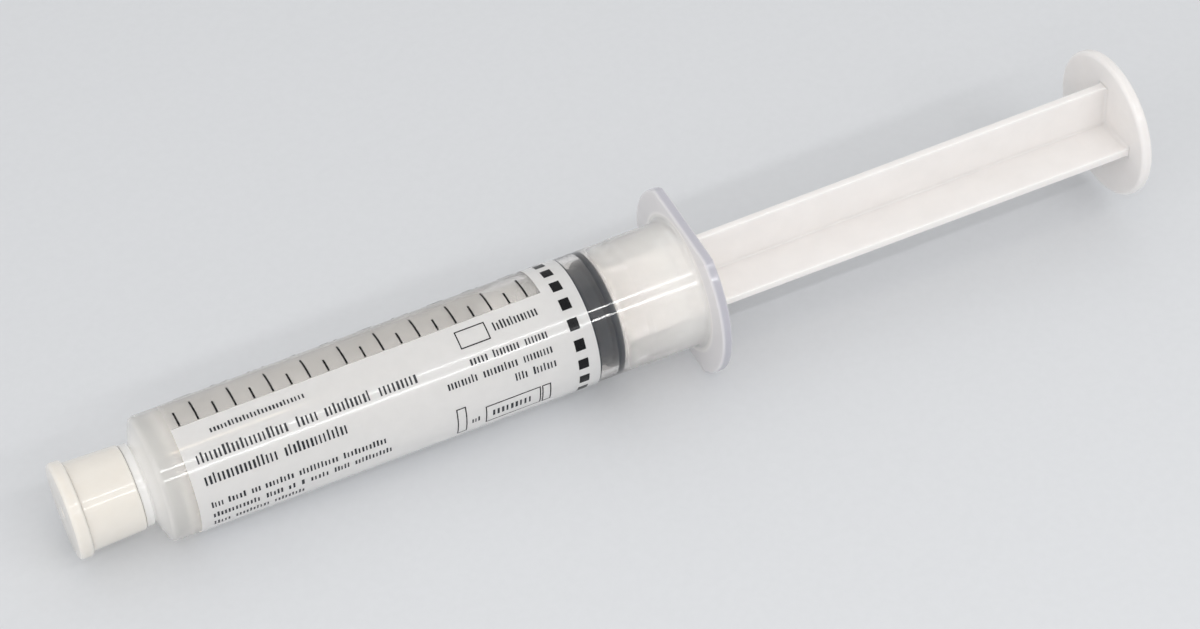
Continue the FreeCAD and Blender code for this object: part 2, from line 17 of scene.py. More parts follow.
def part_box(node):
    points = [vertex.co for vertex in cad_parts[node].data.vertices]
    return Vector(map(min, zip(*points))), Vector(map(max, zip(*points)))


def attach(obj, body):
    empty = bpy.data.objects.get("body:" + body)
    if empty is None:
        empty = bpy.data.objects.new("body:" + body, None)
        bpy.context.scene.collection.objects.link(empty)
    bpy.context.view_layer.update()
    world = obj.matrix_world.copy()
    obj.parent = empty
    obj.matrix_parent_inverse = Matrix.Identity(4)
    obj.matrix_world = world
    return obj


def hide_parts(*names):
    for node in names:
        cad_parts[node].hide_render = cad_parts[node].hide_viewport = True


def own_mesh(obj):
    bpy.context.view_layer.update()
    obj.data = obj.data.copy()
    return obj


bl_info = {
    "name": "Flush syringe",
    "version": (1, 0, 0),
    "blender": (4, 5, 0),
    "location": "View3D > Sidebar > Syringe",
    "description": "Builds the looks of a pre-filled flush syringe around its packed frame",
    "category": "Add Mesh",
}

MM = 0.001
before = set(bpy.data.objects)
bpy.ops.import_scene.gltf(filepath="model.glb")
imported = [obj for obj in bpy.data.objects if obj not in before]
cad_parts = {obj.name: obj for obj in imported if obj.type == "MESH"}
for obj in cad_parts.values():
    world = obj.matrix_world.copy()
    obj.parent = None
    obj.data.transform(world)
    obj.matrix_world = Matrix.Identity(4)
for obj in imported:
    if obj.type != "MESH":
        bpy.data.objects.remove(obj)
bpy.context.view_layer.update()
BARREL_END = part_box("barrel")[1].x
CAP_FRONT, CAP_END = (corner.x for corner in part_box("tip_cap"))
ROD_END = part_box("plunger_rod")[1].x
LABEL_FRONT, LABEL_END = (corner.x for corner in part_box("label"))
RAMP_SPAN = 100.0  # millimetres of the axis that a ramp along it covers


# Helpers for properties

def linear(hex_colour):
    """sRGB hex to linear RGBA, by the standard sRGB curve."""
    srgb = np.array([int(hex_colour[k:k + 2], 16) for k in (1, 3, 5)]) / 255
    rgb = np.where(srgb <= 0.04045, srgb / 12.92, ((srgb + 0.055) / 1.055) ** 2.4)
    return (*rgb.tolist(), 1.0)


def length(name, description, millimetres):
    """A length property, kept in metres."""
    return FloatProperty(
        name=name, description=description, default=millimetres * MM, unit="LENGTH", precision=5
    )


def angle(name, description, degrees):
    """An angle property, kept in radians."""
    return FloatProperty(name=name, description=description, default=math.radians(degrees), unit="ROTATION")


def share(name, description, value):
    """A share from 0 to 1."""
    return FloatProperty(name=name, description=description, default=value, min=0, max=1, subtype="FACTOR")


def colour(name, description, hex_colour):
    """A colour property, from an sRGB hex value."""
    return FloatVectorProperty(
        name=name, description=description, default=linear(hex_colour), size=4, min=0, max=1, subtype="COLOR"
    )


# Sizes and colours that a user would change

class BarrelSizes(PropertyGroup):
    """The barrel with its luer lock and finger flange."""

    bore_radius: length("Bore radius", "Inside of the tube", 7.85)
    front_radius: length("Front radius", "Outside of the tube at its front corner", 8.66)
    step_radius: length("Step radius", "Outside of the drafted tube at its rear end", 8.88)
    band_radius: length("Band radius", "Outside of the plain band ahead of the flange", 8.95)
    wall_front: length("Front wall", "Place where the front wall starts", 8.65)
    wall_corner: length("Front corner", "Place of the front wall's outer corner", 9.8785)
    neck_radius: length("Neck radius", "Foot of the front wall's cone", 5.15)
    step: length("Outer step", "Place of the faint outer step", 78.0)
    step_length: length("Step length", "Axial length of the outer step", 0.8)
    inner_edge: length("Inner edge", "Place where the bore meets the inner cone", 12.0774)
    inner_foot: length("Inner foot", "Place where the inner cone meets the fluid path", 10.0794)
    ridge: length("Ridge", "Front of the ridge that holds the stopper in", 84.4)
    flange_front: length("Flange front", "Front face of the finger flange", 86.65)
    flange_radius: length("Flange radius", "Round outline of the finger flange", 13.3)
    flange_flat: length("Flange flat", "Distance of each flat from the axis", 11.0)
    collar_radius: length("Collar radius", "Outside of the luer lock's collar", 4.95)
    collar_bore: length("Collar bore", "Inside of the luer lock's collar", 4.0)
    thread_front: length("Thread front", "Front edge of the lock's thread", 2.7)
    thread_crest: length("Thread crest", "Inside radius of the lock's thread", 3.5)
    thread_lead: length("Thread lead", "Advance of each start in one turn", 5.0)
    thread_travel: length("Thread travel", "How far each start runs along the axis", 4.0)
    luer_radius: length("Luer radius", "Small end of the luer cone", 1.985)
    luer_foot: length("Luer foot", "Large end of the luer cone", 2.234)
    fluid_radius: length("Fluid path radius", "Hole through the luer cone", 1.1)
    collar_front: length("Collar front", "Front edge of the luer lock's collar", 2.1)
    collar_foot: length("Collar foot", "Place where the collar meets its shoulder", 7.3)
    collar_floor: length("Collar floor", "Bottom of the collar's bore and rear of its shoulder", 8.3)
    shoulder_radius: length("Shoulder radius", "Outside of the shoulder behind the collar", 5.65)
    ridge_height: length("Ridge height", "How far the ridge stands into the bore", 0.25)


class CapSizes(PropertyGroup):
    """The tip cap."""

    rim_radius: length("Rim radius", "Outside of the front rim", 6.6)
    rim_rear: length("Rim rear", "Rear edge of the front rim", -0.2)
    skirt_front: length("Skirt front radius", "Outside of the skirt behind the rim", 6.1)
    skirt_rear: length("Skirt rear radius", "Outside of the skirt at its rear edge", 5.85)
    skirt_end: length("Skirt end", "Rear edge of the skirt", 7.25)
    skirt_bore: length("Skirt bore", "Inside of the skirt", 5.0)
    skirt_floor: length("Skirt floor", "Bottom of the gap between skirt and sleeve", 1.2)
    sleeve_radius: length("Sleeve radius", "Outside of the sleeve on the luer cone", 3.2)
    socket_mouth: length("Socket mouth", "Inside of the sleeve at its mouth", 2.26)
    socket_end: length("Socket end", "Inside of the sleeve at its closed end", 2.02)
    socket_floor: length("Socket floor", "Closed end of the sleeve", -0.4)
    gate_depth: length("Gate depth", "Depth of the moulding mark in the front face", 0.18)
    gate_floor: length("Gate floor", "Radius of the moulding mark's floor", 0.55)
    gate_rim: length("Gate rim", "Radius of the moulding mark's rim", 0.9)


class StopperSizes(PropertyGroup):
    """The rubber stopper."""

    front: length("Front rib", "Front edge of the first sealing rib", 69.904)
    size: length("Length", "From the first sealing rib's front edge to the rear face", 4.66)
    rib_width: length("Rib width", "Width of each sealing rib", 1.1)
    rib_bite: length("Rib bite", "How far the ribs press into the tube's wall", 0.02)
    recess_radius: length("Recess radius", "Rubber between the ribs", 7.0)
    nose_radius: length("Nose radius", "Foot of the nose cone", 7.2)
    nose_apex: length("Nose apex", "Tip of the nose cone", 67.323)
    nose_step: length("Nose step", "From the nose cone's foot to the first sealing rib", 0.45)
    mouth_radius: length("Mouth radius", "Hole that the rod's head snaps through", 2.7)
    mouth_depth: length("Mouth depth", "Thickness of the rubber behind the cavity", 1.1)
    cavity_radius: length("Cavity radius", "Hollow that holds the rod's head", 4.2)
    cavity_depth: length("Cavity depth", "From the rear face to the cavity's bottom", 4.3)


class RodSizes(PropertyGroup):
    """The plunger rod."""

    disc_front: length("Front disc", "Front face of the disc behind the stopper", 74.664)
    disc_thickness: length("Disc thickness", "Thickness of the front disc", 0.9)
    disc_radius: length("Disc radius", "Outside of the front disc", 7.45)
    thumb_front: length("Thumb disc front", "Front face of the thumb disc", 154.2)
    thumb_radius: length("Thumb disc radius", "Outside of the thumb disc", 10.84)
    front_span: length("Front span", "Half width of the ribs at the front disc", 6.85)
    rear_span: length("Rear span", "Half width of the ribs at the thumb disc", 7.2)
    front_half: length("Front half thickness", "Half thickness of the ribs at the front disc", 0.5)
    rear_half: length("Rear half thickness", "Half thickness of the ribs at the thumb disc", 0.65)
    roll: angle("Roll", "Turn of the ribs about the axis, from +Y toward +Z", -5.0)
    fillet: length("Fillet", "Swelling of the ribs where they meet a disc", 0.6)
    root: length("Root", "Fillet between neighbouring ribs", 0.35)
    rib_edge: length("Rib edge", "Rounding of the ribs' long edges", 0.18)
    head_radius: length("Head radius", "Widest part of the snap-in head", 3.9)
    head_front: length("Head front", "Radius of the snap-in head's front face", 2.9)
    head_length: length("Head length", "Length of the snap-in head", 3.0)
    neck_radius: length("Neck radius", "Neck behind the snap-in head", 2.4)
    neck_length: length("Neck length", "From the snap-in head to the front disc", 1.3)


class LabelSizes(PropertyGroup):
    """The wrapped film label and its print."""

    film: length("Film thickness", "Thickness of the film", 0.06)
    glue: length("Glue line", "Gap between the film and the tube", 0.01)
    window_rear: length("Window rear", "Rear edge of the clear window", 65.85)
    window_low: angle("Window start", "Lower edge of the clear window", -5.3)
    window_high: angle("Window end", "Upper edge of the clear window", 88.0)
    zero: length("Zero mark", "Place of the 0 mL mark", 12.335)
    millilitre: length("Millilitre", "Axial length of 1 mL in the bore", 5.1655)
    tick_width: length("Tick width", "Width of a scale mark", 0.27)
    tick_low: angle("Tick start", "Where every scale mark starts", -4.3)
    tick_long: angle("Long tick end", "Where a whole millilitre's mark ends", 22.0)
    tick_short: angle("Short tick end", "Where a half millilitre's mark ends", 9.8)
    tick_first: angle("First tick end", "Where the first half millilitre's mark ends", 13.4)
    numeral_height: length("Numeral height", "Height of the scale's numerals", 2.5)
    numeral_gap: angle("Numeral gap", "From a long mark's end to its numeral", 30.0)
    squares: IntProperty(name="Squares", description="Count of squares in the end ring", default=19, min=3)
    square_place: length("Square place", "Middle of the ring of squares", 68.12)
    square_size: length("Square size", "Side of a square along the axis", 1.45)
    square_width: length("Square width", "Side of a square round the axis", 1.6)
    square_phase: angle("Square phase", "Angle of one square's middle", -42.3)
    box_line: length("Box line", "Thickness of the outlined boxes' lines", 0.16)
    print_lift: length("Print lift", "Height of the ink over the film", 0.015)


class SalineSizes(PropertyGroup):
    """The liquid and its air bubble."""

    overlap: length("Overlap", "How far the liquid's surface stands in the wetted walls", 0.03)
    bubble_middle: length("Bubble middle", "Middle of the air bubble along the axis", 63.0)
    bubble_half_length: length("Bubble half length", "Half length of the air bubble", 5.4)
    bubble_half_width: length("Bubble half width", "Half width of the air bubble", 5.4)
    bubble_depth: length("Bubble depth", "Depth of the air bubble under the bore's top", 1.8)


class Finishes(PropertyGroup):
    """Colours of the mouldings, the film, the ink and the liquid."""

    barrel: colour("Barrel", "Clear natural polypropylene", "#FAF7F4")
    # Painted shade: the flange rim's darker cool grey stands for the light led through the thick plate
    barrel_rim: colour("Flange rim", "Cool tint of the thick flange's rim", "#BDBCC4")
    cap: colour("Tip cap", "Milky polypropylene of the cap", "#EBE6DE")
    rod: colour("Plunger rod", "Milky polypropylene of the rod", "#ECE9E7")
    rubber: colour("Rubber", "Butyl rubber of the stopper", "#1B212C")
    film: colour("White film", "White printed field of the label", "#F2F0EE")
    ink: colour("Black ink", "Scale, squares and outlines", "#0C0C0F")
    soft_ink: colour("Grey ink", "Strokes that stand for small print", "#34353A")
    saline: colour("Saline", "Clear liquid", "#FBFAF6")


class StageSettings(PropertyGroup):
    """Floor, lights and camera."""

    floor: colour("Floor", "Plain pale floor", "#D9DBDE")
    world: share("World", "Strength of the even light all round", 0.76)
    lens: FloatProperty(name="Lens", description="Focal length in mm on a 36 mm wide sensor", default=90.11)
    camera_place: FloatVectorProperty(
        name="Camera place", description="Where the camera stands", default=(-0.0365, -0.2531, 0.2998),
        size=3, subtype="XYZ_LENGTH", precision=5,
    )
    camera_aim: FloatVectorProperty(
        name="Camera aim", description="Point in the picture's middle", default=(0.07133, -0.00757, 0.00842),
        size=3, subtype="XYZ_LENGTH", precision=5,
    )
    camera_roll: angle("Camera roll", "Turn of the camera about its own line of sight", -2.604)


# Shapes

def rounded_outline(corners, steps=6, closed=True):
    """Outline through (x, r, rounding) corners, x and r in metres and the rounding in millimetres.

    Each corner is swapped for the arc that touches its two sides. With u and v the unit vectors to the
    neighbours and f the angle between them, the arc starts rounding / tan(f/2) along u, its centre lies
    rounding / sin(f/2) along u + v, and its points turn evenly from u's side to v's.
    """
    corners = np.array(corners, float)
    point, rounding = corners[:, :2], corners[:, 2] * MM
    before, after = np.roll(point, 1, 0) - point, np.roll(point, -1, 0) - point
    before /= np.linalg.norm(before, axis=1)[:, None]
    after /= np.linalg.norm(after, axis=1)[:, None]
    half = np.arccos(np.clip((before * after).sum(1), -1, 1)) / 2
    half = np.clip(half, 1e-3, math.pi / 2 - 1e-3)
    middle = before + after
    middle /= np.maximum(np.linalg.norm(middle, axis=1), 1e-9)[:, None]
    centre = point + middle * (rounding / np.sin(half))[:, None]
    reach = (rounding / np.tan(half))[:, None]
    start, end = point + before * reach - centre, point + after * reach - centre
    sweep = (math.pi - 2 * half)[:, None, None]
    t = np.linspace(0, 1, steps)[None, :, None]
    arc = (np.sin((1 - t) * sweep) * start[:, None] + np.sin(t * sweep) * end[:, None]) / np.sin(sweep)
    outline = (centre[:, None] + arc).reshape(-1, 2)
    if not closed:
        outline = outline[steps - 1:len(outline) - steps + 1]
    return outline


def round_axis(x, r, a):
    """Points at these places along the axis, radii and angles: P = (x, r sin a, r cos a)."""
    return np.stack(np.broadcast_arrays(x, r * np.sin(a), r * np.cos(a)), -1)


def turned(outline, angles):
    """Turned surface through an outline of x(s) and r(s), where the radius may also be r(s, a)."""
    x, r = outline
    return round_axis(x[:, None], r[:, None] if r.ndim == 1 else r, angles)


def full_turn(count):
    """Evenly spaced angles of one full turn, without the repeated last one."""
    return np.arange(count) * (2 * math.pi / count)


def grid_faces(rows, columns, wrap_rows, wrap_columns):
    """Quads between the neighbours of a grid of points that are numbered row by row."""
    i = np.arange(rows if wrap_rows else rows - 1)
    j = np.arange(columns if wrap_columns else columns - 1)
    a, b = (k.ravel() for k in np.meshgrid(i, j, indexing="ij"))
    c, d = (a + 1) % rows, (b + 1) % columns
    return np.stack([a * columns + b, c * columns + b, c * columns + d, a * columns + d], -1)


def joined(batches):
    """One batch of points and faces from several."""
    points, faces, first = [], [], 0
    for batch_points, batch_faces in batches:
        points.append(batch_points)
        faces += [[first + k for k in face] for face in batch_faces]
        first += len(batch_points)
    return np.concatenate(points), faces


def finish_mesh(name, points, faces, sharp_degrees=35.0, indices=None):
    """A closed mesh with merged doubles, outward normals, smooth faces and sharp edges past an angle."""
    mesh = bpy.data.meshes.new(name)
    mesh.from_pydata(points.tolist(), [], faces)
    if indices is not None:
        mesh.polygons.foreach_set("material_index", indices)
    work = bmesh.new()
    work.from_mesh(mesh)
    bmesh.ops.remove_doubles(work, verts=work.verts, dist=2e-8)
    bmesh.ops.recalc_face_normals(work, faces=work.faces)
    work.to_mesh(mesh)
    work.free()
    mesh.shade_smooth()
    mesh.set_sharp_from_angle(angle=math.radians(sharp_degrees))
    return mesh


def add_object(name, data):
    """A new object in the scene."""
    thing = bpy.data.objects.new(name, data)
    bpy.context.scene.collection.objects.link(thing)
    return thing


def new_piece(name, mesh, materials, body, slot, node=None):
    """A piece with its materials that rides on a body and may stand for a CAD node, whose part it hides. The
    slot is not used.
    """
    piece = add_object(name, mesh)
    for material in materials:
        mesh.materials.append(material)
    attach(piece, body)
    if node:
        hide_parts(node)
    return piece


def grids_mesh(name, grids, sharp_degrees=35.0):
    """One mesh from several grids, each (points, wrap rows, wrap columns)."""
    batches = [(grid.reshape(-1, 3), grid_faces(*grid.shape[:2], *wraps).tolist()) for grid, *wraps in grids]
    return finish_mesh(name, *joined(batches), sharp_degrees)


def turned_piece(name, corners, steps, material, *parts):
    """A piece turned about the axis from its open outline's corners, in this many steps round."""
    outline = rounded_outline(corners, closed=False)
    mesh = grids_mesh(name, [(turned(outline.T, full_turn(steps)), False, True)])
    return new_piece(name, mesh, [material], *parts)


# Materials

def add_node(tree, kind, inputs=None, **settings):
    """Adds one shader node: settings by attribute, inputs by name or number as values or as sockets."""
    node = tree.nodes.new(kind)
    for key, value in settings.items():
        setattr(node, key, value)
    for key, value in (inputs or {}).items():
        if isinstance(value, bpy.types.NodeSocket):
            tree.links.new(value, node.inputs[key])
        else:
            node.inputs[key].default_value = value
    return node


def maths(tree, operation, first, second):
    """One operation on two numbers or sockets."""
    return add_node(tree, "ShaderNodeMath", {0: first, 1: second}, operation=operation).outputs["Value"]


def mapped(tree, value, source, target=(0.0, 1.0)):
    """The value carried from the source range to the target range, and held at its ends."""
    ends = {"From Min": source[0], "From Max": source[1], "To Min": target[0], "To Max": target[1]}
    return add_node(tree, "ShaderNodeMapRange", {"Value": value} | ends).outputs["Result"]


def noise(tree, place, size, detail, roughness=0.5):
    """Noise with features of this size in mm, on coordinates in metres."""
    inputs = {"Vector": place, "Scale": 1 / (size * MM), "Detail": detail, "Roughness": roughness}
    return add_node(tree, "ShaderNodeTexNoise", inputs).outputs["Fac"]


def new_material(name):
    """An empty node material and its tree."""
    material = bpy.data.materials.new(name)
    material.use_nodes = True
    material.node_tree.nodes.clear()
    return material, material.node_tree


def close_material(tree, inputs, passed=0.0):
    """Adds the shader and the output. A see-through one passes this share of the lamps' light straight on."""
    surface = add_node(tree, "ShaderNodeBsdfPrincipled", inputs).outputs["BSDF"]
    if passed:
        path = add_node(tree, "ShaderNodeLightPath")
        portion = maths(tree, "MULTIPLY", path.outputs["Is Shadow Ray"], passed)
        gap = add_node(tree, "ShaderNodeBsdfTransparent").outputs["BSDF"]
        surface = add_node(tree, "ShaderNodeMixShader", {0: portion, 1: surface, 2: gap}).outputs["Shader"]
    add_node(tree, "ShaderNodeOutputMaterial", {"Surface": surface})


def shaded(rgba, factor):
    """The colour, darker or lighter by a factor."""
    return (*(min(1.0, c * factor) for c in rgba[:3]), 1.0)


def mottled(tree, base, other, size):
    """Object coordinates, and two colours mixed by a noise of this size in mm."""
    place = add_node(tree, "ShaderNodeTexCoord").outputs["Object"]
    ramp = add_node(tree, "ShaderNodeValToRGB", {"Fac": noise(tree, place, size, 3.0, 0.55)})
    for stop, position, rgba in zip(ramp.color_ramp.elements, (0.35, 0.65), (base, other)):
        stop.position, stop.color = position, rgba
    return place, ramp.outputs["Color"]


def surface_bump(tree, place, size, height, stretch=(1.0, 1.0, 1.0)):
    """Fine relief: noise of this size in mm and height in mm, stretched along the axes."""
    mapping = add_node(tree, "ShaderNodeMapping", {"Vector": place, "Scale": stretch})
    relief = noise(tree, mapping.outputs["Vector"], size, 2.0)
    bump = add_node(tree, "ShaderNodeBump", {"Height": relief, "Strength": 1.0, "Distance": height * MM})
    return bump.outputs["Normal"]


def drifting_value(tree, place, size, low, high):
    """A value that drifts between two others over this size in mm, as handled plastic's roughness does."""
    return mapped(tree, noise(tree, place, size, 4.0), (0.3, 0.7), (low, high))


def axis_ramp(tree, place, stops):
    """A value along the axis, given as (mm, value) stops with straight lines between them."""
    along = add_node(tree, "ShaderNodeSeparateXYZ", {"Vector": place}).outputs["X"]
    portion = maths(tree, "MULTIPLY", along, 1 / (RAMP_SPAN * MM))
    ramp = add_node(tree, "ShaderNodeValToRGB", {"Fac": portion})
    points = ramp.color_ramp.elements
    while len(points) < len(stops):
        points.new(0.5)
    for point, (millimetres, value) in zip(points, stops):
        point.position = millimetres / RAMP_SPAN
        point.color = (value, value, value, 1.0)
    return ramp.outputs["Color"]


def axis_distance(tree, place):
    """Distance from the syringe's axis."""
    flat = add_node(tree, "ShaderNodeMapping", {"Vector": place, "Scale": (0.0, 1.0, 1.0)})
    reach = add_node(tree, "ShaderNodeVectorMath", {0: flat.outputs["Vector"]}, operation="LENGTH")
    return reach.outputs["Value"]


# Milkiness of the barrel's wall by place in mm: hazy nose, clear over liquid and rubber, hazy dry tube. The
# dry tube's haze is the wall's own, while the peak at the nose cone and the light veil over the liquid are
# painted light, a milky lightness that stands for light shining through.
BARREL_VEIL_AND_PAINTED_LIGHT = [
    (0, 0.5), (8.8, 0.85), (10.2, 0.45), (12.4, 0.35), (14.5, 0.19),
    (56.0, 0.15), (66.0, 0.11), (69.5, 0.006), (73.5, 0.006), (76.0, 0.25), (84.0, 0.45),
]
# Roughness of the barrel's wall by place in mm
BARREL_HAZE = [(0, 0.12), (10.5, 0.05), (14.5, 0.04), (74.0, 0.04), (78.0, 0.07), (79.0, 0.16)]
# Painted light under the air bubble by place in mm: the liquid's surface turns pale and milky there, standing
# for the bubble's bright reflection
BUBBLE_PAINTED_GLARE = [(57.0, 0), (58.5, 0.5), (64.5, 0.45), (67.5, 0.1), (69.0, 0)]


def clear_polypropylene(finish, flange_front):
    """Natural polypropylene, injection moulded: polished, and clear where liquid or rubber wets its inside.

    The dry tube behind the stopper and the nose look hazy; at the nose cone and over the liquid part of that
    milkiness is painted light, a milky lightness where light shines through. The thick flange looks milky,
    and its rim carries a painted cool shade that stands for the light led through the thick plate.
    """
    material, tree = new_material("natural_polypropylene_moulded")
    base = tuple(finish.barrel)
    place, tint = mottled(tree, shaded(base, 0.99), base, 6.0)
    radius = axis_distance(tree, place)
    # The flange starts where the radius leaves the tube's
    thick = mapped(tree, radius, (8.9 * MM, 10.0 * MM), (0.0, 0.98))
    # Where the wall is milky it shows its pale base colour instead of refracting; at the nose cone and over
    # the liquid this milkiness is painted light
    milk_and_painted_light = maths(tree, "MAXIMUM", axis_ramp(tree, place, BARREL_VEIL_AND_PAINTED_LIGHT), thick)
    clear = maths(tree, "SUBTRACT", 1.0, milk_and_painted_light)
    # Painted shade on the flange's rim: its outer edge takes the darker cool grey that stands for the light
    # led through the thick plate
    outer = mapped(tree, radius, (9.6 * MM, 10.4 * MM))
    front, rear, margin = flange_front / MM, BARREL_END / MM, 0.12
    edge = axis_ramp(tree, place, [(front, 0), (front + margin, 1), (rear - margin, 1), (rear, 0)])
    rim = maths(tree, "MULTIPLY", outer, edge)
    mixed = add_node(
        tree, "ShaderNodeMix", {"Factor": rim, "A": tint, "B": tuple(finish.barrel_rim)}, data_type="RGBA"
    )
    drift = drifting_value(tree, place, 3.0, -0.015, 0.015)
    soft = maths(tree, "ADD", axis_ramp(tree, place, BARREL_HAZE), drift)
    bump = surface_bump(tree, place, 2.5, 0.0006, (0.15, 1.0, 1.0))
    close_material(tree, {
        "Base Color": mixed.outputs["Result"], "Transmission Weight": clear, "Roughness": soft,
        "Normal": bump, "IOR": 1.49, "Subsurface Weight": 0.8, "Subsurface Radius": (1.0, 1.0, 1.0),
        "Subsurface Scale": 0.6 * MM, "Coat Weight": 0.3, "Coat Roughness": 0.04,
    }, passed=0.92)
    return material


def even_finish(name, low, high, grain, drift, relief, values, passed=0.0, drifting="Roughness"):
    """A finish that is alike all over: a mottled colour, one value that drifts, and a fine relief.

    The mottle goes from the low to the high colour over its grain in mm. Drift is the size in mm, lowest and
    highest of the drifting value. Relief is the size and height in mm of the bumps, and where they need one
    their stretch.
    """
    material, tree = new_material(name)
    place, tint = mottled(tree, low, high, grain)
    value = drifting_value(tree, place, *drift)
    bump = surface_bump(tree, place, *relief)
    close_material(tree, {"Base Color": tint, drifting: value, "Normal": bump} | values, passed)
    return material


def milky_polypropylene(name, base, smoothest, roughest):
    """Milky polypropylene, satin moulded: light soaks in and comes out soft, with a dull wide highlight."""
    return even_finish(
        name, shaded(base, 0.97), base, 4.0, drift=(1.5, smoothest, roughest), relief=(0.35, 0.003),
        values={
            "IOR": 1.49, "Subsurface Weight": 0.9, "Subsurface Radius": (1.0, 0.98, 0.96),
            "Subsurface Scale": 0.9 * MM, "Coat Weight": 0.7, "Coat Roughness": 0.07,
        },
    )


def butyl_rubber(base):
    """Dark grey butyl rubber, compression moulded and siliconed: nearly black with a soft grey sheen."""
    return even_finish(
        "butyl_rubber_siliconed", shaded(base, 0.8), shaded(base, 1.15), 0.5, drift=(0.8, 0.32, 0.5),
        relief=(0.12, 0.004), values={"IOR": 1.5, "Specular IOR Level": 0.15},
    )


def white_film(base):
    """White-inked polypropylene film, gloss laminated: a cool white that lets some light through."""
    return even_finish(
        "polypropylene_film_white_ink", shaded(base, 0.975), base, 2.0, drift=(5.0, 0.16, 0.26),
        relief=(6.0, 0.003, (0.3, 1.0, 1.0)), passed=0.88,
        values={
            "IOR": 1.49, "Subsurface Weight": 0.8, "Subsurface Radius": (1.0, 1.0, 1.0),
            "Subsurface Scale": 0.4 * MM, "Coat Weight": 0.6, "Coat Roughness": 0.05,
        },
    )


def clear_film(base):
    """The same film where it carries no white: almost unseen, with a faint veil of its own."""
    return even_finish(
        "polypropylene_film_clear", base, shaded(base, 0.96), 2.0, drift=(7.0, 0.05, 0.09), drifting="Alpha",
        relief=(6.0, 0.002, (0.3, 1.0, 1.0)), passed=0.9, values={"IOR": 1.49, "Roughness": 0.12},
    )


def printing_ink(name, base, grain):
    """Screen-printed ink: an even matt-gloss colour with a faint pinhole grain."""
    return even_finish(
        name, shaded(base, 0.85), shaded(base, 1.2), grain, drift=(0.6, 0.22, 0.34), relief=(0.15, 0.001),
        values={"IOR": 1.5, "Specular IOR Level": 0.15, "Coat Weight": 0.12, "Coat Roughness": 0.06},
    )


def saline_liquid(base):
    """Saline: clear water with a breath of colour, perfectly smooth, with painted light where the bubble lies
    on it: a pale milky patch that stands for the bubble's bright reflection.
    """
    material, tree = new_material("saline_clear_liquid")
    place, tint = mottled(tree, shaded(base, 0.99), base, 12.0)
    inside = mapped(tree, axis_distance(tree, place), (7.85 * MM, 7.4 * MM))
    # Painted light: where the liquid's surface dips under the bubble it turns pale and milky, in place of the
    # bubble's bright reflection
    pale = maths(tree, "MULTIPLY", inside, axis_ramp(tree, place, BUBBLE_PAINTED_GLARE))
    clear = maths(tree, "SUBTRACT", 1.0, pale)
    close_material(
        tree, {"Base Color": tint, "Transmission Weight": clear, "IOR": 1.333, "Roughness": 0.0}, passed=0.98
    )
    return material


def floor_laminate(base):
    """Pale matt laminate of a work surface, with a fine even speckle."""
    material, tree = new_material("pale_laminate")
    place, tint = mottled(tree, shaded(base, 0.985), base, 1.2)
    bump = surface_bump(tree, place, 0.6, 0.004)
    close_material(tree, {"Base Color": tint, "Normal": bump, "Roughness": 0.6, "Specular IOR Level": 0.25})
    return material


# Barrel

def flange_reach(angles, flat, radius):
    """Outline of the finger flange as a share from its flats to its round sides.

    The outline is the smaller of flat / |cos a| and the round radius, joined by a soft minimum
    -ln(exp(-k p) + exp(-k q)) / k that rounds the four corners.
    """
    k = 12.0 / MM
    far = 1.6 * radius
    across = np.minimum(flat / np.maximum(np.abs(np.cos(angles)), 1e-3), far)
    low = np.minimum(across, radius)
    outline = low - np.log(np.exp(-k * (across - low)) + np.exp(-k * (radius - low))) / k
    return (outline - flat) / (radius - flat)


def barrel_corners(s, reach):
    """Corners (x, r, rounding) of the barrel's closed outline, for a flange of this reach."""
    chamfer = 0.5 * MM
    lead_in = 0.35 * MM
    ridge_foot, ridge_crest = s.ridge + 1.2 * MM, s.bore_radius - s.ridge_height
    slope = 0.3 * MM
    return [
        (0, s.fluid_radius, 0.05),
        (0, s.luer_radius, 0.12),
        (s.collar_floor, s.luer_foot, 0.2),
        (s.collar_floor, s.collar_bore, 0.2),
        (s.collar_front + lead_in, s.collar_bore, 0.05),
        (s.collar_front, s.collar_bore + lead_in, 0.05),
        (s.collar_front, s.collar_radius, 0.12),
        (s.collar_foot, s.collar_radius, 0.08),
        (s.collar_foot, s.shoulder_radius, 0.12),
        (s.collar_floor, s.shoulder_radius, 0.12),
        (s.wall_front, s.neck_radius, 0.15),
        (s.wall_corner, s.front_radius, 1.0),
        (s.step, s.step_radius, 1.5),
        (s.step + s.step_length, s.band_radius, 1.5),
        (s.flange_front, s.band_radius, 0.8),
        (s.flange_front, reach, 0.3),
        (BARREL_END, reach, 0.3),
        (BARREL_END, s.bore_radius + chamfer, 0.1),
        (BARREL_END - chamfer, s.bore_radius, 0.1),
        (ridge_foot, s.bore_radius, 0.05),
        (ridge_foot - slope, ridge_crest, 0.1),
        (s.ridge + slope, ridge_crest, 0.1),
        (s.ridge, s.bore_radius, 0.05),
        (s.inner_edge, s.bore_radius, 0.5),
        (s.inner_foot, s.fluid_radius, 0.3),
    ]


def lock_thread(s, start):
    """One start of the lock's thread: a trapezoid carried round the axis while it moves along it.

    A point (x, r) of it goes to (x + lead t, r) at the angle start + 2 pi t, for t from 0 to travel / lead.
    Its foot is sunk into the collar's wall, and both its ends close on their middle.
    """
    width, slope, sunk = 1.0 * MM, 0.3 * MM, 0.15 * MM
    foot = s.collar_bore + sunk
    x = s.thread_front + np.array([0, slope, width - slope, width])
    r = np.array([foot, s.thread_crest, s.thread_crest, foot])
    t = np.linspace(0, s.thread_travel / s.thread_lead, 60)[:, None]
    ring = round_axis(x + s.thread_lead * t, r, start + 2 * math.pi * t)
    ends = np.broadcast_to(ring.mean(1, keepdims=True), ring.shape)
    return np.concatenate([ends[:1], ring, ends[-1:]])


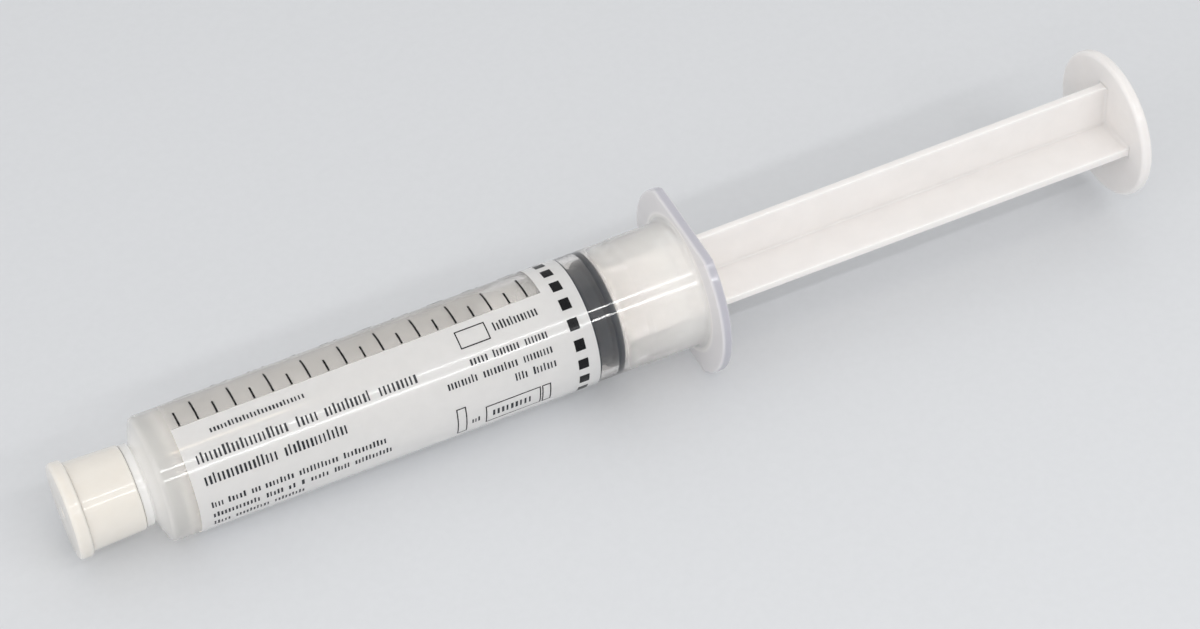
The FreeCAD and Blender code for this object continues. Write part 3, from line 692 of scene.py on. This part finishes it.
class SYRINGE_OT_barrel(Operator):
    """Builds the barrel: luer lock, drafted tube and finger flange in one moulding"""

    bl_idname = "syringe.barrel"
    bl_label = "Barrel"

    def execute(self, context):
        scene = context.scene
        s = scene.syringe_barrel
        angles = full_turn(288)
        narrow = rounded_outline(barrel_corners(s, s.flange_flat))
        wide = rounded_outline(barrel_corners(s, s.flange_radius))
        reach = flange_reach(angles, s.flange_flat, s.flange_radius)
        radius = narrow[:, 1, None] + (wide[:, 1] - narrow[:, 1])[:, None] * reach
        mesh = grids_mesh("barrel_moulding", [
            (turned((narrow[:, 0], radius), angles), True, True),
            (lock_thread(s, 0.0), False, True),
            (lock_thread(s, math.pi), False, True),
        ])
        material = clear_polypropylene(scene.syringe_finishes, s.flange_front)
        new_piece("barrel_moulding", mesh, [material], "barrel_body", "barrel_plastic", "barrel")
        return {"FINISHED"}


# Tip cap

class SYRINGE_OT_tip_cap(Operator):
    """Builds the tip cap: closed rimmed front, skirt over the lock collar and sleeve on the luer cone"""

    bl_idname = "syringe.tip_cap"
    bl_label = "Tip cap"

    def execute(self, context):
        s = context.scene.syringe_cap
        corners = [
            (CAP_FRONT + s.gate_depth, 0, 0),
            (CAP_FRONT + s.gate_depth, s.gate_floor, 0.1),
            (CAP_FRONT, s.gate_rim, 0.15),
            (CAP_FRONT, s.rim_radius, 0.45),
            (s.rim_rear, s.rim_radius, 0.45),
            (s.rim_rear, s.skirt_front, 0.2),
            (s.skirt_end, s.skirt_rear, 0.35),
            (s.skirt_end, s.skirt_bore, 0.1),
            (s.skirt_floor, s.skirt_bore, 0.2),
            (s.skirt_floor, s.sleeve_radius, 0.2),
            (CAP_END, s.sleeve_radius, 0.2),
            (CAP_END, s.socket_mouth, 0.1),
            (s.socket_floor, s.socket_end, 0.1),
            (s.socket_floor, 0, 0),
        ]
        base = tuple(context.scene.syringe_finishes.cap)
        material = milky_polypropylene("milky_polypropylene_cap", base, 0.28, 0.36)
        turned_piece("cap_moulding", corners, 160, material, "cap_body", "cap_plastic", "tip_cap")
        return {"FINISHED"}


# Stopper

class SYRINGE_OT_stopper(Operator):
    """Builds the rubber stopper with its nose cone, two sealing ribs and snap cavity"""

    bl_idname = "syringe.stopper"
    bl_label = "Stopper"

    def execute(self, context):
        scene = context.scene
        s = scene.syringe_stopper
        rib = scene.syringe_barrel.bore_radius + s.rib_bite
        rear = s.front + s.size
        slope = 0.3 * MM
        corners = [
            (s.nose_apex, 0, 0),
            (s.front - s.nose_step, s.nose_radius, 0.3),
            (s.front, rib, 0.2),
            (s.front + s.rib_width, rib, 0.2),
            (s.front + s.rib_width + slope, s.recess_radius, 0.3),
            (rear - s.rib_width - slope, s.recess_radius, 0.3),
            (rear - s.rib_width, rib, 0.2),
            (rear, rib, 0.25),
            (rear, s.mouth_radius, 0.2),
            (rear - s.mouth_depth, s.mouth_radius, 0.2),
            (rear - s.mouth_depth, s.cavity_radius, 0.2),
            (rear - s.cavity_depth, s.cavity_radius, 0.2),
            (rear - s.cavity_depth, 0, 0),
        ]
        material = butyl_rubber(tuple(scene.syringe_finishes.rubber))
        turned_piece("stopper_rubber", corners, 160, material, "stopper_body", "stopper_rubber", "stopper")
        return {"FINISHED"}


# Plunger rod

def cross_outline(span, half, root, end):
    """Closed outline (y, z) of a four-bladed cross with rounded blade ends and filleted roots.

    One eighth runs from the diagonal to the middle of a blade's end: the root's arc of radius root about
    (half + root, half + root), the side at z = half with its points closer near the root, and the end's arc.
    It is mirrored over the blade, and the blade is turned by quarters.
    """
    root_arc, end_arc = np.radians(np.linspace(225, 270, 5)), np.radians(np.linspace(90, 0, 5))
    foot = half + root
    side = foot + (span - end - foot) * np.linspace(0, 1, 14)[1:-1] ** 1.7
    y = np.concatenate([foot + root * np.cos(root_arc), side, span - end + end * np.cos(end_arc), [span]])
    z = np.concatenate([
        foot + root * np.sin(root_arc), np.full(len(side), half), half - end + end * np.sin(end_arc), [0]
    ])
    y, z = np.concatenate([y, y[-2:0:-1]]), np.concatenate([z, -z[-2:0:-1]])
    return np.concatenate([np.column_stack(pair) for pair in ((y, z), (z, -y), (-y, -z), (-z, y))])


def rod_blades(s, front, rear):
    """The four blades as a cross carried along the axis and turned about it.

    Its outline goes evenly from the front to the rear cross and swells by f (1 - sqrt(1 - (1 - d/f)^2))
    within f of each disc, where d is the distance to the disc.
    """
    near = np.array([0, 0.04, 0.12, 0.25, 0.45, 0.7, 1.0]) * s.fillet
    middle = np.linspace(front + 2 * s.fillet, rear - 2 * s.fillet, 12)
    x = np.concatenate([front + near, middle, (rear - near)[::-1]])
    distance = np.minimum(np.minimum(x - front, rear - x), s.fillet)
    swell = (1 - np.sqrt(1 - (1 - distance / s.fillet) ** 2))[:, None, None]
    t = ((x - front) / (rear - front))[:, None, None]
    thin = cross_outline(s.front_span, s.front_half, s.root, s.rib_edge)
    thick = cross_outline(s.rear_span, s.rear_half, s.root, s.rib_edge)
    fat = cross_outline(s.rear_span, s.rear_half + s.fillet, s.root, s.rib_edge)
    outline = thin * (1 - t) + thick * t + (fat - thick) * swell
    blades = np.concatenate([np.broadcast_to(x[:, None, None], outline.shape[:2] + (1,)), outline], -1)
    return blades @ np.array(Matrix.Rotation(s.roll, 3, "X")).T


class SYRINGE_OT_plunger_rod(Operator):
    """Builds the plunger rod: snap-in head, front disc, four blades and thumb disc in one moulding"""

    bl_idname = "syringe.plunger_rod"
    bl_label = "Plunger rod"

    def execute(self, context):
        scene = context.scene
        s = scene.syringe_rod
        disc_rear = s.disc_front + s.disc_thickness
        head_rear = s.disc_front - s.neck_length
        head_front = head_rear - s.head_length
        slope = 0.8 * MM
        head = rounded_outline([
            (head_front, 0, 0),
            (head_front, s.head_front, 0.25),
            (head_rear - slope, s.head_radius, 0.2),
            (head_rear, s.head_radius, 0.2),
            (head_rear, s.neck_radius, 0.1),
            (s.disc_front, s.neck_radius, 0.1),
            (s.disc_front, s.disc_radius, 0.2),
            (disc_rear, s.disc_radius, 0.2),
            (disc_rear, s.front_span, 0),
        ], closed=False)
        thumb = rounded_outline([
            (s.thumb_front, s.rear_span, 0),
            (s.thumb_front, s.thumb_radius, 0.6),
            (ROD_END, s.thumb_radius, 0.6),
            (ROD_END, 0, 0),
        ], steps=8, closed=False)
        blades = rod_blades(s, disc_rear, s.thumb_front)
        front_angles, rear_angles = (np.arctan2(row[:, 1], row[:, 2]) for row in (blades[0], blades[-1]))
        rows = np.concatenate([turned(head.T, front_angles), blades, turned(thumb.T, rear_angles)])
        mesh = grids_mesh("rod_moulding", [(rows, False, True)])
        material = milky_polypropylene("milky_polypropylene_rod", tuple(scene.syringe_finishes.rod), 0.3, 0.4)
        new_piece("rod_moulding", mesh, [material], "rod_body", "rod_plastic", "plunger_rod")
        return {"FINISHED"}


# Label

def film_radius(x):
    """Inside of the film: the tube's front radius, plus its draft times the way from there, plus the glue."""
    b = bpy.context.scene.syringe_barrel
    draft = (b.step_radius - b.front_radius) / (b.step - b.wall_corner)
    return b.front_radius + draft * (x - b.wall_corner) + bpy.context.scene.syringe_label.glue


class SYRINGE_OT_label(Operator):
    """Builds the wrapped film label with its white field and its clear window"""

    bl_idname = "syringe.label"
    bl_label = "Label film"

    def execute(self, context):
        scene = context.scene
        s = scene.syringe_label
        stations = np.array([LABEL_FRONT, s.window_rear, LABEL_END])
        inner = film_radius(stations)
        x = np.concatenate([stations, stations[::-1]])
        r = np.concatenate([inner, (inner + s.film)[::-1]])
        window = np.linspace(s.window_low, s.window_high, 60)
        field = np.linspace(s.window_high, s.window_low + 2 * math.pi, 172)
        angles = np.concatenate([window[:-1], field[:-1]])
        faces = grid_faces(len(x), len(angles), True, True)
        # The outline's six sides, of which the first and the last two lie ahead of the window's rear edge
        ahead = np.array([True, False, False, False, True, True])
        clear = (ahead[:, None] & (np.arange(len(angles)) < len(window) - 1)).ravel()
        points = turned((x, r), angles).reshape(-1, 3)
        mesh = finish_mesh("label_film", points, faces.tolist(), indices=clear.astype(int))
        base = tuple(scene.syringe_finishes.film)
        materials = [white_film(base), clear_film(base)]
        new_piece("label_film", mesh, materials, "barrel_body", "label_film", "label")
        return {"FINISHED"}


# Print on the label

def printed_patches(places):
    """Thin closed patches of ink on the film, for rows of (x from, x to, angle from, angle to).

    Each patch sweeps a small rectangle, x from..to by radius inner..outer, through its angles in even steps,
    and its first and last rectangles close it. The ink stands its full height over the film and goes half
    as deep into it.
    """
    label = bpy.context.scene.syringe_label
    places = np.array(places, float)
    surface = film_radius((places[:, 0] + places[:, 1]) / 2) + label.film
    inner, outer = surface - 0.5 * label.print_lift, surface + label.print_lift
    steps = 9
    x = places[:, [0, 0, 1, 1]][:, None, :]
    r = np.stack([inner, outer, outer, inner], -1)[:, None, :]
    t = np.linspace(0, 1, steps)[None, :, None]
    a = places[:, 2, None, None] * (1 - t) + places[:, 3, None, None] * t
    points = round_axis(x, r, a).reshape(-1, 3)
    sides = grid_faces(steps, 4, False, True)
    ends = np.arange(4) + np.array([[0], [steps * 4 - 4]])
    first = np.arange(len(places))[:, None, None] * (steps * 4)
    return points, (np.concatenate([sides, ends]) + first).reshape(-1, 4).tolist()


def numeral_mesh(s, text, place):
    """A numeral bent round the axis: its width runs with the angle and its height toward the tip.

    A point (u, v, w) of the flat letter goes to angle a = start + u / radius, place x + height/2 - v and
    radius inner + w.
    """
    height_share = 0.72  # of the font's size that a numeral's height takes
    curve = bpy.data.curves.new("numeral", "FONT")
    curve.body = text
    curve.size = s.numeral_height / height_share
    curve.extrude = s.print_lift / 2
    curve.resolution_u = 6
    flat = add_object("numeral", curve)
    bpy.context.view_layer.update()
    shape = bpy.data.meshes.new_from_object(flat)
    co = np.empty(len(shape.vertices) * 3)
    shape.vertices.foreach_get("co", co)
    co = co.reshape(-1, 3)
    faces = [list(face.vertices) for face in shape.polygons]
    bpy.data.objects.remove(flat)
    bpy.data.meshes.remove(shape)
    inner = film_radius(place) + s.film
    a = s.tick_long + s.numeral_gap + (co[:, 0] - co[:, 0].min()) / inner
    r = inner + s.print_lift / 2 + co[:, 2]
    return round_axis(place + s.numeral_height / 2 - co[:, 1], r, a), faces


def print_piece(name, batches, ink_name, base, grain):
    """One piece of ink from batches of points and faces, riding on the barrel's body."""
    mesh = finish_mesh(name, *joined(batches))
    new_piece(name, mesh, [printing_ink(ink_name, tuple(base), grain)], "barrel_body", "label_film")


class SYRINGE_OT_scale(Operator):
    """Prints the millilitre scale and the ring of squares on the label"""

    bl_idname = "syringe.scale"
    bl_label = "Scale and squares"

    def execute(self, context):
        scene = context.scene
        s = scene.syringe_label
        marks = np.arange(1, 21)
        x = s.zero + s.millilitre * marks / 2
        half = s.tick_width / 2
        top = np.where(marks % 2 == 0, s.tick_long, s.tick_short)
        top[0] = s.tick_first
        ticks = np.column_stack([x - half, x + half, np.full(len(x), s.tick_low), top])
        middle = s.square_phase + full_turn(s.squares)
        side, spread = s.square_size / 2, s.square_width / 2 / film_radius(s.square_place)
        ring = np.column_stack([
            np.full(s.squares, s.square_place - side), np.full(s.squares, s.square_place + side),
            middle - spread, middle + spread,
        ])
        batches = [printed_patches(np.concatenate([ticks, ring]))]
        batches += [numeral_mesh(s, str(count), s.zero + s.millilitre * count) for count in range(1, 11)]
        print_piece("label_scale", batches, "screen_ink_black", scene.syringe_finishes.ink, 0.2)
        return {"FINISHED"}


# Rows of strokes in place of words: (angle from, angle to) in degrees and each word's (x from, x to) in mm
WORD_ROWS = [
    (-20.5, -16.5, [(18.2, 31.4)]),
    (-42.5, -35.0, [(15.2, 27.9), (29.0, 32.1), (32.9, 39.4), (40.5, 46.0)]),
    (-62.3, -54.6, [(15.3, 25.5), (26.3, 35.2)]),
    (-85.6, -80.4, [(15.3, 17.1), (17.6, 20.2), (20.8, 22.2), (22.7, 26.8), (27.4, 33.0), (33.6, 39.8)]),
    (-98.6, -93.4, [
        (15.3, 21.9), (22.6, 25.1), (25.7, 26.9), (27.5, 28.2), (28.8, 31.5), (32.1, 34.4), (35.0, 40.4),
    ]),
    (-112.0, -106.6, [(15.3, 17.7), (18.3, 23.1), (23.7, 28.0)]),
    (-24.0, -17.6, [(57.9, 64.4)]),
    (-45.2, -39.6, [(53.2, 55.9), (56.5, 60.4), (61.1, 64.5)]),
    (-58.8, -53.2, [(49.3, 53.7), (54.4, 59.5), (60.2, 64.5)]),
    (-72.2, -66.4, [(58.5, 60.4), (61.1, 64.6)]),
    (-103.0, -97.6, [(51.7, 53.0)]),
    (-103.0, -95.0, [(54.7, 60.6)]),
]
PRINT_MIDDLE = 40 * MM  # where the film's radius is taken for every row
STROKE_PITCH = 0.52  # spacing of the strokes over their row's height
LEAST_PITCH = 0.5 * MM  # closer strokes would blend in the render
STROKE_WIDTH = (0.36, 0.56)  # least and greatest share of the spacing
TALL_CHANCE, TALL_HEIGHT = 0.25, 1.24  # some strokes stand taller than their row

# Outlined boxes: (x from, x to) in mm, (angle from, angle to) in degrees
BOXES = [
    (52.7, 57.0, -29.2, -12.4),
    (49.6, 51.0, -114.0, -78.6),
    (53.7, 61.7, -111.5, -87.2),
    (61.9, 63.2, -111.5, -87.2),
]


class SYRINGE_OT_print_fields(Operator):
    """Prints rows of plain strokes and outlined boxes where the label carries its small print"""

    bl_idname = "syringe.print_fields"
    bl_label = "Print fields"

    def execute(self, context):
        finishes = context.scene.syringe_finishes
        chance = np.random.default_rng(7)
        radius = film_radius(PRINT_MIDDLE)
        strokes = []
        for low, high, words in WORD_ROWS:
            low, high = math.radians(low), math.radians(high)
            pitch = max(STROKE_PITCH * (high - low) * radius, LEAST_PITCH)
            for x0, x1 in words:
                count = max(1, round((x1 - x0) * MM / pitch))
                starts = np.linspace(x0, x1, count, endpoint=False) * MM
                widths = (x1 - x0) * MM / count * chance.uniform(*STROKE_WIDTH, count)
                tops = np.where(chance.random(count) < TALL_CHANCE, low + TALL_HEIGHT * (high - low), high)
                strokes.append(np.column_stack([starts, starts + widths, np.full(count, low), tops]))
        line = context.scene.syringe_label.box_line
        turn = line / radius
        frames = []
        for x0, x1, low, high in BOXES:
            x0, x1, low, high = x0 * MM, x1 * MM, math.radians(low), math.radians(high)
            frames += [
                (x0, x0 + line, low, high),
                (x1 - line, x1, low, high),
                (x0 + line, x1 - line, low, low + turn),
                (x0 + line, x1 - line, high - turn, high),
            ]
        blocks = printed_patches(np.concatenate(strokes))
        print_piece("label_blocks", [blocks], "screen_ink_grey", finishes.soft_ink, 0.25)
        print_piece("label_boxes", [printed_patches(frames)], "screen_ink_dark", finishes.ink, 0.25)
        return {"FINISHED"}


# Saline

def bubble_radius(x, angles, s, radius):
    """Liquid surface with the air bubble pressed into its top.

    With q = ((x - m) / l)^2 + (R a / b)^2 and the angle a from the top, the surface is R - c (1 - q^2) where
    q < 1, and the bore's R elsewhere.
    """
    from_top = (angles + math.pi) % (2 * math.pi) - math.pi
    along = ((x - s.bubble_middle) / s.bubble_half_length)[:, None]
    q = along ** 2 + (radius * from_top / s.bubble_half_width) ** 2
    return radius - s.bubble_depth * np.clip(1 - q ** 2, 0, None)


class SYRINGE_OT_saline(Operator):
    """Builds the saline: the column with its air bubble, and the thread of it in the luer tip"""

    bl_idname = "syringe.saline"
    bl_label = "Saline"

    def execute(self, context):
        scene = context.scene
        s, b, stopper = scene.syringe_saline, scene.syringe_barrel, scene.syringe_stopper
        radius, thread = b.bore_radius + s.overlap, b.fluid_radius + s.overlap
        foot, edge = b.inner_foot - s.overlap, b.inner_edge - s.overlap
        rear_edge = stopper.front + s.overlap
        rear_foot = stopper.front - stopper.nose_step + s.overlap
        apex = stopper.nose_apex + s.overlap
        # Rows lie close together over the bubble and end just ahead of the stopper's first rib
        bubble_front = s.bubble_middle - 1.05 * s.bubble_half_length
        bubble = np.linspace(bubble_front, stopper.front - 0.3 * MM, 130)
        wall = np.concatenate([np.linspace(edge, bubble_front, 6)[:-1], bubble, [rear_edge]])
        x = np.concatenate([[foot, foot], wall, [rear_foot, apex]])
        angles = full_turn(480)
        r = np.concatenate([[0, thread], np.full(len(wall), radius), [stopper.nose_radius, 0]])
        r = np.broadcast_to(r[:, None], (len(x), len(angles))).copy()
        r[2:-3] = bubble_radius(x[2:-3], angles, s, radius)
        column = grids_mesh("saline_column", [(turned((x, r), angles), False, True)], sharp_degrees=50.0)
        material = saline_liquid(tuple(scene.syringe_finishes.saline))
        piece = new_piece("saline_column", column, [material], "barrel_body", "saline", "saline_fill")
        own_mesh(piece)
        tip_front, tip_rear = 0.05 * MM, foot - 0.35 * MM
        corners = [(tip_front, 0, 0), (tip_front, thread, 0.3), (tip_rear, thread, 0), (tip_rear, 0, 0)]
        turned_piece("saline_tip", corners, 48, material, "barrel_body", "saline")
        return {"FINISHED"}


# Stage

def floor_corners(barrel):
    """A large plane that touches the syringe's two lowest places, the front corner and the flange's flat.

    Its height is the front corner's, plus the slope between the two times the way from it, less a hair.
    """
    front = Vector((barrel.wall_corner + 1.0 * MM, 0, -barrel.front_radius))
    rear = Vector((BARREL_END - 0.3 * MM, 0, -barrel.flange_flat))
    slope = (rear.z - front.z) / (rear.x - front.x)
    x, y = np.array([-1.5, 1.8, 1.8, -1.5]), np.array([-1.5, -1.5, 1.8, 1.8])
    return np.stack([x, y, front.z + slope * (x - front.x) - 0.02 * MM], -1)


# Area lamps, all turned to LAMP_AIM: name, place and (width, height) in metres, radiance and colour
LAMP_AIM = (75 * MM, 0, 0)
LAMPS = [
    ("upper_tube", (0.13, -0.256563, 0.381806), (0.55, 0.018), 10.5, "#FFFFFF"),
    ("lower_tube", (0.13, -0.358496, 0.288238), (0.55, 0.022), 10.5, "#FFFFFF"),
    ("warm_lamp", (0.06, -0.083828, 0.452297), (0.09, 0.035), 4.0, "#FFE9C8"),
    ("front_box", (-0.9, -0.35, 0.5), (0.8, 0.8), 1.05, "#FFFFFF"),
    ("overhead_box", (0.1, 0.45, 0.75), (0.9, 0.6), 0.2, "#FFFFFF"),
]


def add_lamp(name, place, size, radiance, hex_colour):
    """An area lamp of this width and height whose face has this radiance, with its width along the axis."""
    lamp = bpy.data.lights.new(name, "AREA")
    lamp.shape = "RECTANGLE"
    lamp.size, lamp.size_y = size
    lamp.energy = radiance * math.pi * size[0] * size[1]
    lamp.color = linear(hex_colour)[:3]
    holder = add_object(name, lamp)
    holder.location = place
    line = (Vector(LAMP_AIM) - Vector(place)).normalized()
    up = line.cross(Vector((1, 0, 0))).normalized()
    right = up.cross(-line).normalized()
    holder.rotation_mode = "QUATERNION"
    holder.rotation_quaternion = Matrix((right, up, -line)).transposed().to_quaternion()


class SYRINGE_OT_stage(Operator):
    """Sets the floor, the soft light and the camera"""

    bl_idname = "syringe.stage"
    bl_label = "Stage"

    def execute(self, context):
        scene = context.scene
        settings = scene.syringe_stage
        mesh = bpy.data.meshes.new("floor")
        mesh.from_pydata(floor_corners(scene.syringe_barrel).tolist(), [], [[0, 1, 2, 3]])
        mesh.materials.append(floor_laminate(tuple(settings.floor)))
        add_object("floor", mesh)

        world = bpy.data.worlds.new("soft_room")
        world.use_nodes = True
        world.node_tree.nodes.clear()
        sky = add_node(
            world.node_tree, "ShaderNodeBackground", {"Color": linear("#FAFAFA"), "Strength": settings.world}
        )
        add_node(world.node_tree, "ShaderNodeOutputWorld", {"Surface": sky.outputs["Background"]})
        scene.world = world
        for lamp in LAMPS:
            add_lamp(*lamp)

        lens = bpy.data.cameras.new("camera")
        lens.sensor_fit = "HORIZONTAL"
        lens.sensor_width = 36
        lens.lens = settings.lens
        lens.clip_start = 0.01
        camera = add_object("camera", lens)
        place, target = Vector(settings.camera_place), Vector(settings.camera_aim)
        camera.location = place
        camera.rotation_mode = "QUATERNION"
        camera.rotation_quaternion = (
            (target - place).to_track_quat("-Z", "Y") @ Quaternion((0, 0, 1), settings.camera_roll)
        )
        scene.camera = camera
        scene.view_settings.view_transform = "Standard"
        return {"FINISHED"}


# Panel and registration

OPERATORS = (
    SYRINGE_OT_stage,
    SYRINGE_OT_barrel,
    SYRINGE_OT_tip_cap,
    SYRINGE_OT_stopper,
    SYRINGE_OT_plunger_rod,
    SYRINGE_OT_label,
    SYRINGE_OT_scale,
    SYRINGE_OT_print_fields,
    SYRINGE_OT_saline,
)
GROUPS = {
    "syringe_barrel": BarrelSizes,
    "syringe_cap": CapSizes,
    "syringe_stopper": StopperSizes,
    "syringe_rod": RodSizes,
    "syringe_label": LabelSizes,
    "syringe_saline": SalineSizes,
    "syringe_finishes": Finishes,
    "syringe_stage": StageSettings,
}


class VIEW3D_PT_syringe(Panel):
    """Lists the syringe's pieces, sizes and colours"""

    bl_label = "Flush syringe"
    bl_idname = "VIEW3D_PT_syringe"
    bl_space_type = "VIEW_3D"
    bl_region_type = "UI"
    bl_category = "Syringe"

    def draw(self, context):
        layout = self.layout
        for operator in OPERATORS:
            layout.operator(operator.bl_idname, text=operator.bl_label)
        for name, group in GROUPS.items():
            box = layout.box()
            box.label(text=group.__doc__.rstrip("."))
            for size in group.__annotations__:
                box.prop(getattr(context.scene, name), size)


def register():
    """Registers the property groups, the operators and the panel."""
    for name, group in GROUPS.items():
        bpy.utils.register_class(group)
        setattr(bpy.types.Scene, name, PointerProperty(type=group))
    for operator in OPERATORS:
        bpy.utils.register_class(operator)
    bpy.utils.register_class(VIEW3D_PT_syringe)


def unregister():
    """Takes them out again, in the other order."""
    bpy.utils.unregister_class(VIEW3D_PT_syringe)
    for operator in reversed(OPERATORS):
        bpy.utils.unregister_class(operator)
    for name, group in reversed(GROUPS.items()):
        delattr(bpy.types.Scene, name)
        bpy.utils.unregister_class(group)


def main():
    """Registers the add-on and builds every piece."""
    register()
    for operator in OPERATORS:
        family, name = operator.bl_idname.split(".")
        getattr(getattr(bpy.ops, family), name)()


if __name__ == "__main__":
    main()
